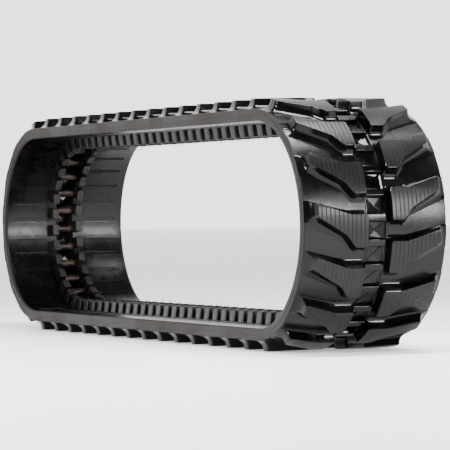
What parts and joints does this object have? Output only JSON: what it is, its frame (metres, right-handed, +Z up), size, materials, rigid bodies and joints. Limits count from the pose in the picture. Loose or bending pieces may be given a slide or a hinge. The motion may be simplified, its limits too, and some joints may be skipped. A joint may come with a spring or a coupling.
{
  "type": "rubber track",
  "caption": "Endless reinforced rubber track for a small excavator, with staggered chevron lugs, iron cores, paired guide horns and steel cords, bending at four seams.",
  "frame": {"origin": "on the ground under the middle of the track", "axes": "+X along the track towards the drive end, +Y across the belt, +Z up"},
  "size_m": [2.0454, 0.35, 0.5753],
  "materials": {
    "tread_rubber": "gloss",
    "edge_rubber": "matte",
    "wheel_rubber": "satin",
    "horn_rubber": "satin",
    "inner_rubber": "matte",
    "core_iron": "rusted",
    "cord_steel": "satin",
    "ply_fabric": "matte"
  },
  "bodies": {
    "bottom_run": {"bottom_wheel_rubber": "wheel_rubber", "bottom_horn_covers": "horn_rubber", "bottom_iron_cores": "core_iron", "bottom_left_cords": "cord_steel", "bottom_right_cords": "cord_steel", "bottom_cord_rubber": "inner_rubber", "bottom_cut_guard_ply": "ply_fabric", "bottom_base_rubber": "edge_rubber", "bottom_left_lugs": "tread_rubber", "bottom_right_lugs": "tread_rubber", "bottom_bar_covers": "tread_rubber", "bottom_window_membranes": "tread_rubber"},
    "front_end": {"front_wheel_rubber": "wheel_rubber", "front_horn_covers": "horn_rubber", "front_iron_cores": "core_iron", "front_left_cords": "cord_steel", "front_right_cords": "cord_steel", "front_cord_rubber": "inner_rubber", "front_cut_guard_ply": "ply_fabric", "front_base_rubber": "edge_rubber", "front_left_lugs": "tread_rubber", "front_right_lugs": "tread_rubber", "front_bar_covers": "tread_rubber", "front_window_membranes": "tread_rubber"},
    "top_run": {"top_wheel_rubber": "wheel_rubber", "top_horn_covers": "horn_rubber", "top_iron_cores": "core_iron", "top_left_cords": "cord_steel", "top_right_cords": "cord_steel", "top_cord_rubber": "inner_rubber", "top_cut_guard_ply": "ply_fabric", "top_base_rubber": "edge_rubber", "top_left_lugs": "tread_rubber", "top_right_lugs": "tread_rubber", "top_bar_covers": "tread_rubber", "top_window_membranes": "tread_rubber"},
    "rear_end": {"rear_wheel_rubber": "wheel_rubber", "rear_horn_covers": "horn_rubber", "rear_iron_cores": "core_iron", "rear_left_cords": "cord_steel", "rear_right_cords": "cord_steel", "rear_cord_rubber": "inner_rubber", "rear_cut_guard_ply": "ply_fabric", "rear_base_rubber": "edge_rubber", "rear_left_lugs": "tread_rubber", "rear_right_lugs": "tread_rubber", "rear_bar_covers": "tread_rubber", "rear_window_membranes": "tread_rubber"}
  },
  "joints": [
    {"name": "rear_bottom_bend", "type": "hinge", "parent": "bottom_run", "child": "rear_end", "pos_m": [-0.72188, 0, 0.037], "axis": [0, 1, 0], "range_deg": [-3, 9], "stiffness_Nm_per_rad": 3000},
    {"name": "front_bottom_bend", "type": "hinge", "parent": "bottom_run", "child": "front_end", "pos_m": [0.74812, 0, 0.03734], "axis": [0, 1, 0], "range_deg": [-3, 9], "stiffness_Nm_per_rad": 3000},
    {"name": "rear_top_bend", "type": "hinge", "parent": "rear_end", "child": "top_run", "pos_m": [-0.74812, 0, 0.538], "axis": [0, 1, 0], "range_deg": [-9, 3], "stiffness_Nm_per_rad": 3000}
  ],
  "couplings": [
    {"joint": "front_bottom_bend", "follows": "rear_bottom_bend", "ratio": 1},
    {"joint": "rear_top_bend", "follows": "rear_bottom_bend", "ratio": -1}
  ]
}
